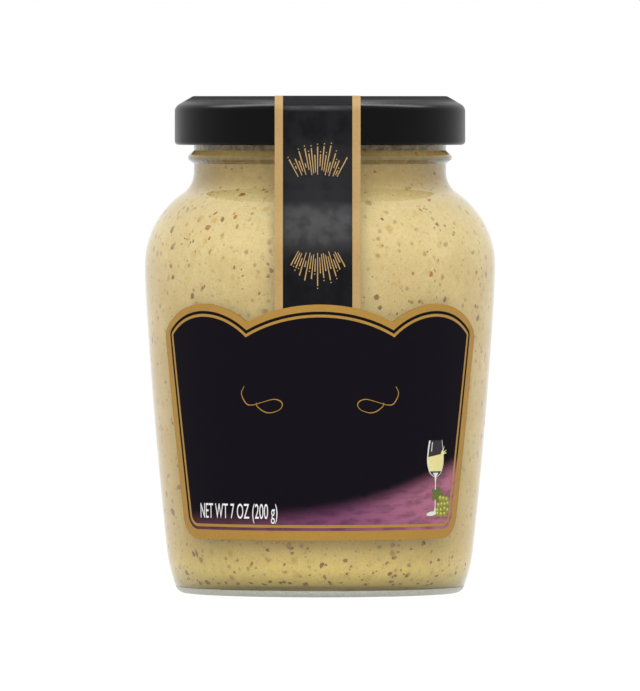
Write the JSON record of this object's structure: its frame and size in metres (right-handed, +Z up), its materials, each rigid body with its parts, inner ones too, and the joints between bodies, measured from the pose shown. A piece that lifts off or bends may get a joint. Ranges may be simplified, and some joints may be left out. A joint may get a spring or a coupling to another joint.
{
  "type": "mustard jar",
  "caption": "Filled round glass mustard jar with a black twist-off lid, wrapped paper labels with arched tops and a paper seal strip over the lid.",
  "frame": {"origin": "on the jar's axis, in the plane of the ring it stands on", "axes": "+Z up along the jar's axis, -Y towards the front label's middle, +X to the right as the front is seen"},
  "size_m": [0.0668, 0.067, 0.0948],
  "materials": {
    "clear_glass": "clear, smooth",
    "mustard": "thick pale yellow paste with fine seed specks, wet against the glass",
    "black_lid": "gloss black enamel on tinplate",
    "label_paper": "black and purple printed paper with gold borders",
    "seal_paper": "satin black printed paper with gold edges"
  },
  "bodies": {
    "root": {"glass_jar": "clear_glass", "mustard": "mustard", "lid": "black_lid", "front_label": "label_paper", "back_label": "label_paper", "seal_band": "seal_paper"}
  },
  "joints": []
}
